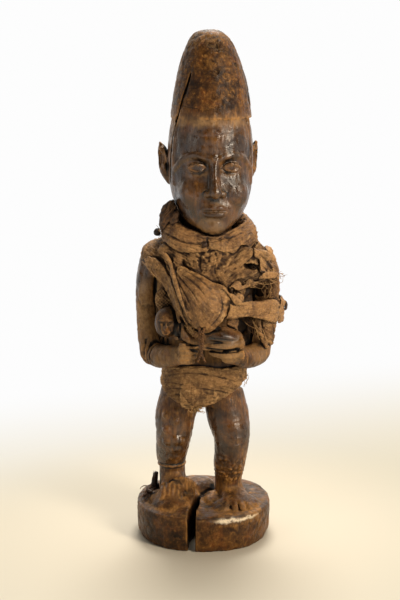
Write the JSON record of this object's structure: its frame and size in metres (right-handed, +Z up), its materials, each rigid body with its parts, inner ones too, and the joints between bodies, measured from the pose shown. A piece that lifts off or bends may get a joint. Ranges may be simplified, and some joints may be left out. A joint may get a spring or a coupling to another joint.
{
  "type": "carved wooden power figure",
  "caption": "Standing carved wooden figure in a tall domed cap holding a child, wrapped in hide and cloth with a chest pouch, on an oval split base.",
  "frame": {"origin": "on the underside of the base, below the middle of the figure", "axes": "+Z up through the figure, -Y the way it faces, +X to its left hand"},
  "size_m": [0.0894, 0.0831, 0.2994],
  "materials": {
    "carved_wood": "dark oiled wood with a glossy handled patina, crusted in the hollows",
    "dried_hide": "dried wrinkled hide caked with tan earth",
    "wrapped_cloth": "coarse cloth stiff with resin and dust",
    "pouch_hide": "smooth stuffed hide with creases drawn to its neck",
    "dry_fibre": "loose dry plant fibre",
    "dark_trim": "small dark worn knots and beads"
  },
  "bodies": {
    "root": {"figure": "carved_wood", "chest_wrap": "wrapped_cloth", "waist_wrap": "wrapped_cloth", "neck_wrap": "dried_hide", "arm_sleeve": "dried_hide", "fibre_packing": "dry_fibre", "bundle_pouch": "pouch_hide", "shoulder_strap": "dried_hide", "arm_strap": "dried_hide", "upper_strap": "dried_hide", "neck_tuft": "dried_hide", "neck_bead": "dark_trim", "collar_stud": "dark_trim", "sleeve_knob": "dark_trim", "front_cord": "dry_fibre", "ankle_cord": "dark_trim"}
  },
  "joints": []
}
